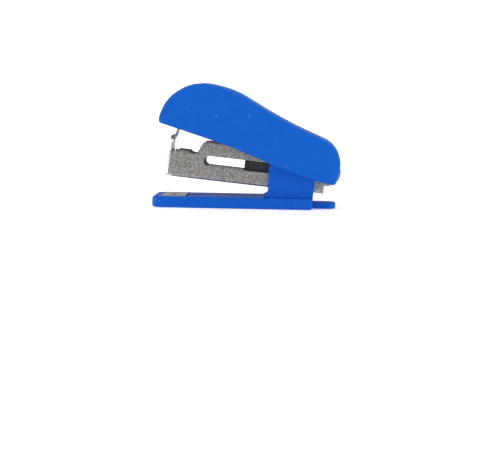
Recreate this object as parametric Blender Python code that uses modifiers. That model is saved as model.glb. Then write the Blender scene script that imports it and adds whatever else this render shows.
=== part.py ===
"""Mini desk stapler: plastic base and cover, steel staple magazine, spring-loaded pusher and driver blade.

Frame: millimetres below, metres in the scene. +X to the rear hinge, +Z up, origin under the middle
of the whole stapler. The magazine is drawn in its own tilted frame: U back along it, V up from its
underside, with U = V = 0 at the lower front corner.
"""

import math

import bmesh
import bpy
from mathutils import Matrix, Vector

MM = 0.001
GAP = 0.3  # running gap that neighbouring pieces keep

# Driving dimensions
LENGTH = 59.2
WIDTH = 18.0
BASE_LENGTH = 50.5
BASE_THICK = 3.5
WALL = 1.4  # plastic walls
COVER_WALL = 1.5
MAGAZINE_HALF = 5.5  # half of the magazine's width
SHEET = 0.5  # magazine sheet
TILT = 5.6  # magazine, nose up, in degrees
NOSE = (-24.4, 9.7)  # lower front corner of the magazine, X and Z
MAGAZINE_PIVOT = (13.65, 10.2)
REAR_PIN = (25.25, 11.75)
HOOK = (-23.58, 21.86)  # where the driver blade hangs
CROWN = 9.3  # width of a No. 10 staple

BASE_FRONT = -LENGTH / 2
BASE_REAR = BASE_FRONT + BASE_LENGTH
HALF = WIDTH / 2
COVER_IN = HALF - COVER_WALL
EAR_RADIUS = LENGTH / 2 - REAR_PIN[0]

# Base
BASE_CORNERS = (2.7, 1.2)  # corner radii in plan, front and rear
BASE_EDGE = 0.7
CHEEK_IN = 5.8  # half distance between the two cheeks
CHEEK_THICK = 1.5
CHEEK_FOOT = (3.6, 20.7)  # X from and to
CHEEK_TOP = 15.2
STUD_RADIUS = 1.6
STUD_END = 4.75
STOP = (19.0, 20.3, 4.9)  # rib between the cheeks: X from and to, height
SPRING_X = 9.8
SPIGOT_TOP = 4.5
TONGUE_END = 28.1
TONGUE_HALF = 3.6
TONGUE_THICK = 2.0
POCKET_FRONT = -17.4
POCKET_LONG = 8.3
SPINE_HALF = 1.0  # half of the rib that the pockets leave along the middle

# Anvil plate
ANVIL_SPAN = (-26.95, -19.35)
ANVIL_HALF = 7.2
ANVIL_TOP = 3.65
ANVIL_THICK = 0.55
ANVIL_TAIL = 2.1  # height that its rear lip reaches down to
GROOVE_X = -23.15
GROOVE_SIZE = (0.95, 2.45, 0.6)  # half sizes of the hollow that shapes a clinching groove

# Magazine, in U and V
WALL_TALL = 12.0
WALL_LOW = 8.15
WINDOW = (10.4, 35.6, 4.5, 7.7)  # U from and to, V from and to
TAB = (1.5, 5.4, 3.75)  # U from and to, half distance between the two tabs
BRACKET_U = 42.6
BRACKET_FOOT = 47.4
BRACKET_TOP = 5.6
BRACKET_THICK = 0.6
RIVET_U = 45.6
RIVET_YS = (-3.3, 3.3)
RIVET_RADIUS = 0.6
RIVET_HEAD = (1.0, 0.45)  # radius and height
ROD_HIGH = 2.75
ROD_RADIUS = 0.7
ROD_FRONT = 2.0
STRIP = (0.35, 23.0)  # staple strip, U from and to
STAPLE_HIGH = 3.7
STAPLE_WIRE = 0.5
EXIT_END = 0.85  # U where the slot for the leaving staple ends
PUSHER_LONG = 8.6
PUSHER_HALF = 4.4
PUSHER_TOP = 8.0

# Rear hinge
PIN_RADIUS = 1.2
PIN_HALF = 7.9
BOSS_IN = 5.9
BOSS_RADIUS = 2.5
BUSH_RADIUS = 1.9
COIL_HALF = 1.65  # half of the return spring's width
SPRING_REST = (15.8, 21.2)  # where the return spring's leg meets the leaf

# Cover, leaf and blade
RIM = 1.4
REAR_WALL_LOW = 17.4  # the cover's rear wall ends above the magazine's ears
WEB_XS = (-6.0, 9.0)
WEB_THICK = 1.2
POST_RADIUS = 1.5
LEAF_THICK = 0.4
LEAF_HALF = 3.3
LEAF_REAR = (19.0, 21.4)
LEAF_LEAVES = -18  # angle round the hook pin where the leaf runs off its rolled eye
LEAF_RISE = 8.4
LEAF_RIVET_RADIUS = 0.7
HOOK_PIN_RADIUS = 0.3
HOOK_CLEAR = 0.1  # between the hook pin and what is rolled round it
NECK_HALF = 2.1
NECK_LOW = 10.6  # V where the blade narrows
BLADE_THICK = 0.4
BLADE_U = -0.3  # its centre line, and the V up to which it is straight
BLADE_STRAIGHT = 10.8
BLADE_TIP = 5.75  # V of the blade's cutting edge at rest

# Side outline of the cover: over the nose, along the back and down to the rear corner
COVER_BACK = [
    (-27.7, 26.9), (-27.65, 28.2), (-26.9, 30.5), (-25.6, 33.0), (-23.3, 35.55), (-20.5, 37.4),
    (-18.0, 38.5), (-15.5, 39.0), (-13.0, 38.98), (-10.3, 38.5), (-6.45, 37.5), (-2.55, 35.95),
    (1.35, 33.7), (6.6, 30.6), (11.8, 27.75), (17.0, 25.2), (22.2, 22.9), (24.8, 21.7),
    (26.1, 20.9), (27.4, 19.7), (28.5, 18.1), (29.15, 16.4), (29.4, 15.0), (29.4, 13.9),
    (29.1, 11.7), (28.5, 9.55), (27.85, 8.0),
]
COVER_SILL = [
    (27.0, 7.95), (23.1, 8.85), (18.7, 10.2), (13.1, 12.0), (8.1, 14.0), (1.8, 16.6), (-5.7, 19.6),
    (-13.3, 22.1), (-20.8, 24.5), (-26.9, 26.4),
]

BLUE = (0.010, 0.115, 0.560, 1.0)
STEEL = (0.42, 0.41, 0.40, 1.0)
BRIGHT = (0.72, 0.72, 0.72, 1.0)
BLACK = (0.022, 0.025, 0.035, 1.0)


# ---------------------------------------------------------------- scene and frames

for old in list(bpy.data.objects):
    bpy.data.objects.remove(old, do_unlink=True)

STAPLER = bpy.data.collections.new("mini_stapler")
CUTTERS = bpy.data.collections.new("cutters")
CUTTERS.hide_render = True
for collection in (STAPLER, CUTTERS):
    bpy.context.scene.collection.children.link(collection)

WORLD = Matrix()
MAGAZINE = Matrix.Translation((NOSE[0] * MM, 0, NOSE[1] * MM)) @ Matrix.Rotation(math.radians(TILT), 4, "Y")
SIDE_ON = Matrix.Rotation(math.radians(90), 4, "X")  # turns a flat outline upright, into X and Z


def material(name, colour, rough, metal):
    made = bpy.data.materials.new(name)
    made.use_nodes = True
    shader = made.node_tree.nodes["Principled BSDF"]
    shader.inputs["Base Color"].default_value = colour
    shader.inputs["Roughness"].default_value = rough
    shader.inputs["Metallic"].default_value = metal
    return made


def to_magazine(x, z):
    """The magazine's own U and V of a point in X and Z."""
    point = MAGAZINE.inverted() @ Vector((x * MM, 0, z * MM))
    return point.x / MM, point.z / MM


def pivot(name, x, z, parent=None):
    """An empty on a joint's axis, which the moving pieces hang on."""
    empty = bpy.data.objects.new(name, None)
    empty.location = (x * MM, 0, z * MM)
    STAPLER.objects.link(empty)
    if parent:
        bpy.context.view_layer.update()
        empty.parent = parent
        empty.matrix_parent_inverse = parent.matrix_world.inverted()
    bpy.context.view_layer.update()
    return empty


# ---------------------------------------------------------------- outlines

def arc(centre, radius, start, end, steps):
    """Points on an arc, from the start angle to the end angle in degrees."""
    angles = [math.radians(start + (end - start) * i / steps) for i in range(steps + 1)]
    return [(centre[0] + radius * math.cos(a), centre[1] + radius * math.sin(a)) for a in angles]


def rounded(corners, steps=4):
    """A closed outline of (x, y, radius) corners, each with a radius rounded by an arc."""
    outline = []
    for i, (x, y, radius) in enumerate(corners):
        here = Vector((x, y))
        if not radius:
            outline.append((x, y))
            continue
        back = (Vector(corners[i - 1][:2]) - here).normalized()
        ahead = (Vector(corners[(i + 1) % len(corners)][:2]) - here).normalized()
        half = back.angle(ahead) / 2
        centre = here + (back + ahead).normalized() * (radius / math.sin(half))
        first = here + back * (radius / math.tan(half)) - centre
        last = here + ahead * (radius / math.tan(half)) - centre
        turn = math.atan2(first.x * last.y - first.y * last.x, first.dot(last))
        start = math.atan2(first.y, first.x)
        for k in range(steps + 1):
            angle = start + turn * k / steps
            outline.append((centre.x + radius * math.cos(angle), centre.y + radius * math.sin(angle)))
    return outline


def smooth(points, steps):
    """A smooth line through the points (Catmull-Rom)."""
    line = []
    knots = [Vector(p) for p in [points[0]] + points + [points[-1]]]
    for a, b, c, d in zip(knots, knots[1:], knots[2:], knots[3:]):
        for k in range(steps):
            t = k / steps
            square, cube = 2 * a - 5 * b + 4 * c - d, 3 * b - a - 3 * c + d
            line.append((2 * b + (c - a) * t + square * t**2 + cube * t**3) / 2)
    line.append(knots[-1])
    return [tuple(p) for p in line]


def beside(line, distance):
    """The line moved sideways, to its right for a positive distance."""
    moved = []
    for i, here in enumerate(line):
        before = Vector(line[max(i - 1, 0)])
        after = Vector(line[min(i + 1, len(line) - 1)])
        along = (after - before).normalized()
        moved.append((here[0] + along.y * distance, here[1] - along.x * distance))
    return moved


def band(line, thick):
    """Closed outline of a strip that follows a line."""
    return beside(line, thick / 2) + beside(line, -thick / 2)[::-1]


# ---------------------------------------------------------------- solids

def add(name, mesh, collection):
    made = bpy.data.objects.new(name, mesh)
    collection.objects.link(made)
    if collection is CUTTERS:
        made.hide_render = True
        made.display_type = "WIRE"
    return made


def bake(made):
    """Replaces a curve object by the mesh that it makes, with its caps welded on."""
    bpy.context.view_layer.update()
    mesh = bpy.data.meshes.new_from_object(made.evaluated_get(bpy.context.evaluated_depsgraph_get()))
    mesh.transform(made.matrix_world)
    name = made.name
    home = made.users_collection[0]
    bpy.data.objects.remove(made, do_unlink=True)
    work = bmesh.new()
    work.from_mesh(mesh)
    bmesh.ops.remove_doubles(work, verts=work.verts, dist=1e-7)
    bmesh.ops.recalc_face_normals(work, faces=work.faces)
    work.to_mesh(mesh)
    work.free()
    return add(name, mesh, home)


def flat(name, outlines, thick, place, collection):
    """A flat piece about its own X and Y. Later outlines are holes."""
    curve = bpy.data.curves.new(name, "CURVE")
    curve.dimensions = "2D"
    curve.fill_mode = "BOTH"
    curve.extrude = thick / 2 * MM
    for outline in outlines:
        spline = curve.splines.new("POLY")
        spline.points.add(len(outline) - 1)
        for point, (x, y) in zip(spline.points, outline):
            point.co = (x * MM, y * MM, 0, 1)
        spline.use_cyclic_u = True
    made = add(name, curve, collection)
    made.matrix_world = place
    return bake(made)


def plate(name, outlines, low, high, place=WORLD, collection=STAPLER):
    """A flat piece that lies in X and Z (or U and V), between two values of Y."""
    middle = Matrix.Translation((0, (high + low) / 2 * MM, 0))
    return flat(name, outlines, high - low, place @ middle @ SIDE_ON, collection)


def slab(name, outline, low, high, collection=STAPLER):
    """A flat piece that lies in X and Y, between two heights."""
    middle = Matrix.Translation((0, 0, (high + low) / 2 * MM))
    return flat(name, [outline], high - low, middle, collection)


def block(name, low, high, place=WORLD, collection=CUTTERS):
    """A box between two corners."""
    bpy.ops.mesh.primitive_cube_add(size=1)
    made = bpy.context.object
    made.name = name
    size = [(b - a) * MM for a, b in zip(low, high)]
    middle = [(a + b) / 2 * MM for a, b in zip(low, high)]
    made.data.transform(place @ Matrix.Translation(middle) @ Matrix.Diagonal((*size, 1)))
    return rehome(made, collection)


def rod(name, centre, radius, low, high, axis="Y", place=WORLD, collection=CUTTERS, sides=24):
    """A cylinder between two values along its axis; centre gives the other two coordinates in order."""
    bpy.ops.mesh.primitive_cylinder_add(vertices=sides, radius=radius * MM, depth=(high - low) * MM)
    made = bpy.context.object
    made.name = name
    middle = (low + high) / 2
    turns = {
        "X": ((middle, *centre), Matrix.Rotation(math.radians(90), 4, "Y")),
        "Y": ((centre[0], middle, centre[1]), Matrix.Rotation(math.radians(90), 4, "X")),
        "Z": ((*centre, middle), Matrix()),
    }
    spot, turn = turns[axis]
    made.data.transform(place @ Matrix.Translation([c * MM for c in spot]) @ turn)
    return rehome(made, collection)


def rehome(made, collection):
    for home in list(made.users_collection):
        home.objects.unlink(made)
    collection.objects.link(made)
    if collection is CUTTERS:
        made.hide_render = True
        made.display_type = "WIRE"
    return made


def wire(name, points, radius, place=WORLD, collection=STAPLER):
    """A round wire through the points."""
    curve = bpy.data.curves.new(name, "CURVE")
    curve.dimensions = "3D"
    curve.bevel_depth = radius * MM
    curve.bevel_resolution = 2
    curve.use_fill_caps = True
    spline = curve.splines.new("POLY")
    spline.points.add(len(points) - 1)
    for point, spot in zip(spline.points, points):
        point.co = (*(place @ Vector([c * MM for c in spot])), 1)
    return bake(add(name, curve, collection))


def change(made, other, operation):
    modifier = made.modifiers.new(f"{operation.lower()} {other.name}", "BOOLEAN")
    modifier.operation = operation
    modifier.object = other
    modifier.solver = "EXACT"


def cut(made, *others):
    for other in others:
        change(made, other, "DIFFERENCE")


def join(made, *others):
    for other in others:
        change(made, other, "UNION")


def soften(made, width, segments=3, angle=40):
    """Rounds the sharp edges."""
    modifier = made.modifiers.new("rounded edges", "BEVEL")
    modifier.width = width * MM
    modifier.segments = segments
    modifier.limit_method = "ANGLE"
    modifier.angle_limit = math.radians(angle)


def finish(made, look, parent=None, round_piece=False):
    made.data.materials.clear()
    made.data.materials.append(look)
    if round_piece:
        made.data.shade_smooth()
        made.data.set_sharp_from_angle(angle=math.radians(35))
    if parent:
        made.parent = parent
        made.matrix_parent_inverse = parent.matrix_world.inverted()
    return made


# ---------------------------------------------------------------- joint axes

MAGAZINE_AXIS = pivot("magazine_axis", *MAGAZINE_PIVOT)
COVER_AXIS = pivot("cover_axis", *REAR_PIN, MAGAZINE_AXIS)
BLADE_AXIS = pivot("blade_axis", *HOOK, COVER_AXIS)
PUSHER_SPOT = MAGAZINE @ Vector((STRIP[1] * MM, 0, ROD_HIGH * MM)) / MM
PUSHER_AXIS = pivot("pusher_axis", PUSHER_SPOT.x, PUSHER_SPOT.z, MAGAZINE_AXIS)

PUSHER_FRONT = STRIP[1] + 0.1
PIN_U, PIN_V = to_magazine(*REAR_PIN)
STUD_U, STUD_V = to_magazine(*MAGAZINE_PIVOT)
HOOK_U, HOOK_V = to_magazine(*HOOK)


# ---------------------------------------------------------------- base

def make_base():
    """Base plate, two cheeks with pivot studs, rear tongue: one moulding."""
    front, rear = BASE_CORNERS
    base = slab("base_body", rounded([
        (BASE_FRONT, -HALF, front), (BASE_REAR, -HALF, rear),
        (BASE_REAR, HALF, rear), (BASE_FRONT, HALF, front),
    ]), 0, BASE_THICK)
    soften(base, BASE_EDGE)

    seat_half = ANVIL_HALF + GAP
    seat_rear = ANVIL_SPAN[1] + 0.7
    low = ANVIL_TOP - ANVIL_THICK - GAP
    cut(base, block("anvil_seat", (ANVIL_SPAN[0] - GAP, -seat_half, low), (seat_rear, seat_half, 4)))
    low = ANVIL_TAIL - GAP
    cut(base, block("anvil_slot", (ANVIL_SPAN[1] - 0.9, -seat_half, low), (seat_rear, seat_half, 4)))

    for row in (-1, 1):
        near, far = sorted((row * SPINE_HALF, row * (HALF - WALL)))
        for column in range(4):
            x = POCKET_FRONT + column * (POCKET_LONG + WALL)
            cut(base, block(f"pocket_{row}_{column}", (x, near, -1), (x + POCKET_LONG, far, WALL)))

    first, last = CHEEK_FOOT
    sunk = 1.6  # the cheeks are drawn from well inside the base plate, so that they join it
    shoulder = BASE_THICK + 0.05
    outline = rounded([
        (first, sunk, 0), (first, shoulder, 0), (first + 3.1, shoulder, 2.6), (first + 3.55, CHEEK_TOP, 2.6),
        (last + 0.2, CHEEK_TOP, 3.6), (last + 0.9, 9.5, 3), (last, sunk, 0),
    ])
    for side in (-1, 1):
        near, far = sorted((side * CHEEK_IN, side * (CHEEK_IN + CHEEK_THICK)))
        cheek = plate(f"cheek_{side}", [outline], near, far, collection=CUTTERS)
        near, far = sorted((side * (CHEEK_IN + 0.4), side * STUD_END))
        join(base, cheek, rod(f"pivot_stud_{side}", MAGAZINE_PIVOT, STUD_RADIUS, near, far))

    reach = CHEEK_IN + 0.4
    stop = block("stop_rib", (STOP[0], -reach, sunk), (STOP[1], reach, STOP[2]))
    spigot = rod("spring_spigot", (SPRING_X, 0), 1.2, 2.0, SPIGOT_TOP, axis="Z")
    root = BASE_REAR - 1.5
    tongue = slab("tongue", rounded([
        (root, -TONGUE_HALF, 0), (TONGUE_END, -TONGUE_HALF, 3),
        (TONGUE_END, TONGUE_HALF, 3), (root, TONGUE_HALF, 0),
    ]), 0, TONGUE_THICK, CUTTERS)
    soften(tongue, 0.5)
    join(base, stop, spigot, tongue)
    return finish(base, PLASTIC)


def make_anvil():
    """Bright clinching plate with two grooves and a rear lip that hooks down into the base."""
    front, rear = ANVIL_SPAN
    under = ANVIL_TOP - ANVIL_THICK
    outline = rounded([
        (front, under, 0), (rear - ANVIL_THICK, under, 0), (rear - ANVIL_THICK, ANVIL_TAIL, 0),
        (rear, ANVIL_TAIL, 0), (rear, ANVIL_TOP, 0.3), (front, ANVIL_TOP, 0.3),
    ])
    anvil = plate("anvil_plate", [outline], -ANVIL_HALF, ANVIL_HALF)
    for side in (-1, 1):
        bpy.ops.mesh.primitive_uv_sphere_add(segments=20, ring_count=12, radius=MM)
        groove = rehome(bpy.context.object, CUTTERS)
        groove.name = f"clinch_groove_{side}"
        spot = Matrix.Translation((GROOVE_X * MM, side * 2.75 * MM, (ANVIL_TOP + 0.2) * MM))
        groove.data.transform(spot @ Matrix.Diagonal((*GROOVE_SIZE, 1)))
        cut(anvil, groove)
    return finish(anvil, POLISHED)


def make_magazine_spring():
    """Small coil under the magazine, in front of its pivot, round a spigot on the base."""
    turns, coil, steel = 3.25, 1.85, 0.25
    low, high = BASE_THICK + GAP + steel, 6.1 - steel
    steps = 14
    count = round(turns * steps)
    points = []
    for i in range(count + 1):
        angle = 2 * math.pi * i / steps
        points.append((
            SPRING_X + coil * math.cos(angle), coil * math.sin(angle), low + (high - low) * i / count,
        ))
    return finish(wire("magazine_spring", points, steel), WIRE, None, True)


# ---------------------------------------------------------------- magazine

def make_channel():
    """Folded steel trough: low walls and inturned tabs at the nose, tall walls behind, round ears."""
    half, bend = MAGAZINE_HALF, 1.0
    outer = [(-half, 13, 0), (-half, 0, bend), (half, 0, bend), (half, 13, 0)]
    inner = [(half - SHEET, 13, 0), (half - SHEET, SHEET, bend - SHEET),
             (SHEET - half, SHEET, bend - SHEET), (SHEET - half, 13, 0)]
    section = rounded(outer + inner)
    long = PIN_U + EAR_RADIUS + 1
    trough = plate("magazine_channel", [section], -long / 2, long / 2)
    turn = Matrix.Translation((long / 2 * MM, 0, 0)) @ Matrix.Rotation(math.radians(90), 4, "Z")
    trough.data.transform(MAGAZINE @ turn)

    ear = arc((PIN_U, PIN_V), EAR_RADIUS, 75, -95, 20)
    side = rounded([
        (0.05, -1, 0), (0.05, WALL_LOW, 0.3), (5.6, WALL_LOW, 1.2), (7.6, WALL_LOW - 0.75, 1.6),
        (9.65, WALL_TALL, 1.2), (39.5, WALL_TALL, 3), *[(u, v, 0) for u, v in ear], (PIN_U - 0.4, -1, 0),
    ])
    front, rear, low, high = WINDOW
    end = 1.45
    window = rounded([(front, low, end), (rear, low, end), (rear, high, end), (front, high, end)], 8)
    keep = plate("wall_outline", [side, window], -8, 8, MAGAZINE, CUTTERS)
    change(trough, keep, "INTERSECT")

    exit_slot = block("staple_exit", (-1, -4.9, -1), (EXIT_END, 4.9, SHEET + 0.3), MAGAZINE)
    cut(trough, exit_slot)
    cut(trough, rod("stud_holes", (STUD_U, STUD_V), STUD_RADIUS + GAP, -8, 8, place=MAGAZINE))
    cut(trough, rod("pin_holes", (PIN_U, PIN_V), PIN_RADIUS + GAP, -8, 8, place=MAGAZINE))
    for y in RIVET_YS:
        cut(trough, rod(f"floor_hole_{y}", (RIVET_U, y), RIVET_RADIUS + GAP, -1, 2, "Z", MAGAZINE, sides=16))
    for hand in (-1, 1):
        near, far = sorted((hand * TAB[2], hand * (half - 0.1)))
        low, high = WALL_LOW - 0.15, WALL_LOW + 0.4
        join(trough, block(f"retaining_tab_{hand}", (TAB[0], near, low), (TAB[1], far, high), MAGAZINE))
    return finish(trough, ZINC, MAGAZINE_AXIS)


def make_nose_plate():
    """Front plate of the magazine: lips folded back, a relief for the blade's hook and a turned-out foot."""
    half = MAGAZINE_HALF
    plan = rounded([
        (-0.1, -half, 0), (-0.1, 0.35 - half, 0), (-0.85, 0.35 - half, 0.15), (-0.85, half - 0.35, 0.15),
        (-0.1, half - 0.35, 0), (-0.1, half, 0), (-1.15, half, 0.5), (-1.15, -half, 0.5),
    ])
    low = 0.1
    middle = Matrix.Translation((0, 0, (WALL_LOW + low) / 2 * MM))
    nose = flat("nose_plate", [plan], WALL_LOW - low, MAGAZINE @ middle, STAPLER)
    join(nose, block("nose_foot", (-1.45, 0.5 - half, 0), (-1.0, half - 0.5, 0.45), MAGAZINE))
    cut(nose, block("hook_relief", (-3, -3.8, 4.4), (2, 3.8, 9), MAGAZINE))
    return finish(nose, POLISHED, MAGAZINE_AXIS)


def make_rod_bracket():
    """Bent bracket riveted to the magazine floor; it carries the pusher's rod and spring."""
    foot = SHEET + GAP
    upright = BRACKET_U + BRACKET_THICK
    outline = [
        (BRACKET_U, foot, 0.6), (BRACKET_FOOT, foot, 0), (BRACKET_FOOT, foot + BRACKET_THICK, 0),
        (upright, foot + BRACKET_THICK, 0), (upright, BRACKET_TOP, 0), (BRACKET_U, BRACKET_TOP, 0),
    ]
    bracket = plate("rod_bracket", [rounded(outline)], -4.5, 4.5, MAGAZINE)
    cut(bracket, rod("rod_hole", (0, ROD_HIGH), ROD_RADIUS + GAP, 38, 45, "X", MAGAZINE, sides=20))
    for y in RIVET_YS:
        cut(bracket, rod(f"foot_hole_{y}", (RIVET_U, y), RIVET_RADIUS + GAP, -1, 2, "Z", MAGAZINE, sides=16))
    return finish(bracket, ZINC, MAGAZINE_AXIS)


def make_bracket_rivet(name, y):
    """Rivet that holds the bracket to the magazine floor, its head on top."""
    top = SHEET + GAP + BRACKET_THICK + GAP
    head, high = RIVET_HEAD
    rivet = rod(name, (RIVET_U, y), RIVET_RADIUS, -0.05, top + 0.1, "Z", MAGAZINE, STAPLER, 16)
    join(rivet, rod(f"{name}_head", (RIVET_U, y), head, top, top + high, "Z", MAGAZINE, sides=20))
    return finish(rivet, ZINC, MAGAZINE_AXIS, True)


def make_pusher_rod():
    """Round rod along the trough, headed behind the bracket; staples straddle it."""
    head = BRACKET_U + BRACKET_THICK + GAP
    guide = rod("pusher_rod", (0, ROD_HIGH), ROD_RADIUS, ROD_FRONT, head + 0.4, "X", MAGAZINE, STAPLER, 16)
    join(guide, rod("rod_head", (0, ROD_HIGH), 1.15, head, head + 0.6, "X", MAGAZINE, sides=16))
    return finish(guide, POLISHED, MAGAZINE_AXIS, True)


def make_pusher_spring():
    """Coil round the rod, between the pusher and the bracket."""
    steps, pitch, coil, steel = 12, 1.3, 1.5, 0.22
    start = PUSHER_FRONT + PUSHER_LONG + GAP + steel
    end = BRACKET_U - GAP - steel
    count = round((end - start) / pitch * steps)
    points = []
    for i in range(count + 1):
        angle = 2 * math.pi * i / steps
        points.append((
            start + (end - start) * i / count, coil * math.cos(angle), ROD_HIGH + coil * math.sin(angle),
        ))
    return finish(wire("pusher_spring", points, steel, MAGAZINE), WIRE, MAGAZINE_AXIS, True)


def make_staple_strip():
    """Part-used strip of No. 10 staples: an upside-down trough of wire, legs down."""
    low, half, steel = SHEET + 0.1, CROWN / 2, STAPLE_WIRE
    high = low + STAPLE_HIGH
    section = rounded([
        (-half, low, 0), (-half, high, 0.4), (half, high, 0.4), (half, low, 0),
        (half - steel, low, 0), (half - steel, high - steel, 0.2), (steel - half, high - steel, 0.2),
        (steel - half, low, 0),
    ])
    strip = plate("staple_strip", [section], -STRIP[1], -STRIP[0])
    strip.data.transform(MAGAZINE @ Matrix.Rotation(math.radians(90), 4, "Z"))
    return finish(strip, POLISHED, MAGAZINE_AXIS)


def make_pusher():
    """Black plastic block on the rod, with a comb of three teeth above the staples."""
    front, rear = PUSHER_FRONT, PUSHER_FRONT + PUSHER_LONG
    outline = rounded([
        (front, 0.9, 0.2), (rear, 0.9, 0.3), (rear, PUSHER_TOP, 1.0), (front, PUSHER_TOP, 0.3),
    ])
    pusher = plate("pusher", [outline], -PUSHER_HALF, PUSHER_HALF, MAGAZINE)
    cut(pusher, rod("pusher_bore", (0, ROD_HIGH), ROD_RADIUS + GAP, 10, 60, "X", MAGAZINE, sides=20))
    for row in range(3):
        high = 5.25 + row * 0.95
        low_end, high_end = (front - 1, -PUSHER_HALF - 1, high), (front + 1.5, PUSHER_HALF + 1, high + 0.4)
        cut(pusher, block(f"groove_{row}", low_end, high_end, MAGAZINE))
    return finish(pusher, NYLON, PUSHER_AXIS)


# ---------------------------------------------------------------- rear hinge

def make_rear_pin():
    """Pin through the magazine's ears, its ends in blind bosses inside the cover."""
    pin = rod("rear_pin", REAR_PIN, PIN_RADIUS, -PIN_HALF, PIN_HALF, collection=STAPLER, sides=24)
    soften(pin, 0.15, 2)
    return finish(pin, POLISHED, COVER_AXIS, True)


def make_rear_bush():
    """Plastic sleeve on the pin, which keeps the return spring central."""
    reach = MAGAZINE_HALF - SHEET - GAP
    bush = rod("rear_bush", REAR_PIN, BUSH_RADIUS, -reach, reach, collection=STAPLER, sides=24)
    cut(bush, rod("bush_bore", REAR_PIN, PIN_RADIUS + 0.15, -8, 8))
    return finish(bush, NYLON, MAGAZINE_AXIS, True)


def make_return_spring():
    """Torsion spring round the bush: one leg on the bracket's foot, the other under the leaf."""
    steel = 0.3
    coil = BUSH_RADIUS + 0.2 + steel
    on_foot = SHEET + GAP + BRACKET_THICK + GAP + steel
    floor_end = MAGAZINE @ Vector((46.2 * MM, 0, on_foot * MM)) / MM
    start = tangent_angle((floor_end.x, floor_end.z), coil, 1)
    end = tangent_angle(SPRING_REST, coil, -1)
    whole_turns = 4
    sweep = (end - start) % 360 - 360 * (whole_turns + 1)
    steps = round(-sweep / 24)
    points = [(floor_end.x, COIL_HALF, floor_end.z)]
    for i in range(steps + 1):
        angle = math.radians(start + sweep * i / steps)
        y = COIL_HALF - 2 * COIL_HALF * i / steps
        points.append((REAR_PIN[0] + coil * math.cos(angle), y, REAR_PIN[1] + coil * math.sin(angle)))
    points.append((SPRING_REST[0], -COIL_HALF, SPRING_REST[1]))
    return finish(wire("return_spring", points, steel), WIRE, MAGAZINE_AXIS, True)


def tangent_angle(spot, radius, side):
    """Angle at which a straight leg to the spot leaves a coil round the rear pin."""
    away = Vector((spot[0] - REAR_PIN[0], spot[1] - REAR_PIN[1]))
    return math.degrees(math.atan2(away.y, away.x) + side * math.acos(radius / away.length))


# ---------------------------------------------------------------- cover

def make_cover():
    """Hollow plastic shell, open below and at the rear hinge, with two webs over the leaf."""
    back = smooth(COVER_BACK, 4)
    cover = plate("cover_shell", [back + smooth(COVER_SILL, 3)], -HALF, HALF)
    round_rim(cover, back)

    inside = [p for p in beside(back, COVER_WALL) if p[1] > REAR_WALL_LOW or p[0] < 0]
    opening = [(inside[-1][0], REAR_WALL_LOW), (33, 17), (33, 3), (20, 3), (inside[0][0] - 0.1, 23)]
    hollow = plate("cover_hollow", [inside + opening], -COVER_IN, COVER_IN, collection=CUTTERS)
    cut(cover, hollow)

    reach = COVER_IN + 0.5
    for web, x in enumerate(WEB_XS):
        low = leaf_height(x) + LEAF_THICK / 2 + GAP + 0.2
        high = back_height(back, x + POST_RADIUS) - GAP
        join(cover, block(f"web_{web}", (x - WEB_THICK / 2, -reach, low), (x + WEB_THICK / 2, reach, high)))
        join(cover, rod(f"post_{web}", (x, 0), POST_RADIUS, low, high, "Z", sides=20))
        hole = LEAF_RIVET_RADIUS + GAP
        cut(cover, rod(f"post_hole_{web}", (x, 0), hole, low - 1, low + 2.4, "Z", sides=16))
    for side in (-1, 1):
        near, far = sorted((side * BOSS_IN, side * reach))
        join(cover, rod(f"pin_boss_{side}", REAR_PIN, BOSS_RADIUS, near, far))
    cut(cover, rod("pin_hole", REAR_PIN, PIN_RADIUS + GAP, -PIN_HALF - GAP, PIN_HALF + GAP))
    return finish(cover, PLASTIC, COVER_AXIS)


def back_height(back, x):
    """Z of the cover's back above a value of X."""
    for (x0, z0), (x1, z1) in zip(back, back[1:]):
        if x0 <= x <= x1:
            return z0 + (z1 - z0) * (x - x0) / (x1 - x0)


def round_rim(cover, back):
    """Rounds the long edges that follow the back, and leaves the lower sill crisp."""
    work = bmesh.new()
    work.from_mesh(cover.data)
    on_back = {v for v in work.verts
               if any(math.dist((v.co.x / MM, v.co.z / MM), point) < 0.005 for point in back)}
    picked = []
    for edge in work.edges:
        same_side = abs(edge.verts[0].co.y - edge.verts[1].co.y) < 1e-6
        if same_side and len(edge.link_faces) == 2 and on_back.issuperset(edge.verts):
            normals = [face.normal.y for face in edge.link_faces]
            if abs(abs(normals[0]) - abs(normals[1])) > 0.5:
                picked.append(edge)
    bmesh.ops.bevel(work, geom=picked, offset=RIM * MM, segments=4, profile=0.5, affect="EDGES")
    work.to_mesh(cover.data)
    work.free()


def leaf_end():
    """The leaf's sloping end: where it leaves the rolled eye, which way it rises, and its knee."""
    roll = HOOK_PIN_RADIUS + HOOK_CLEAR + LEAF_THICK / 2
    leave = math.radians(LEAF_LEAVES)
    tangent = Vector(HOOK) + roll * Vector((math.cos(leave), math.sin(leave)))
    rise = Vector((-math.sin(leave), math.cos(leave)))
    return roll, tangent, rise, tangent + rise * LEAF_RISE


def leaf_height(x):
    """Z of the leaf's centre line along its straight run."""
    knee = leaf_end()[3]
    return LEAF_REAR[1] + (knee.y - LEAF_REAR[1]) * (x - LEAF_REAR[0]) / (knee.x - LEAF_REAR[0])


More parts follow.
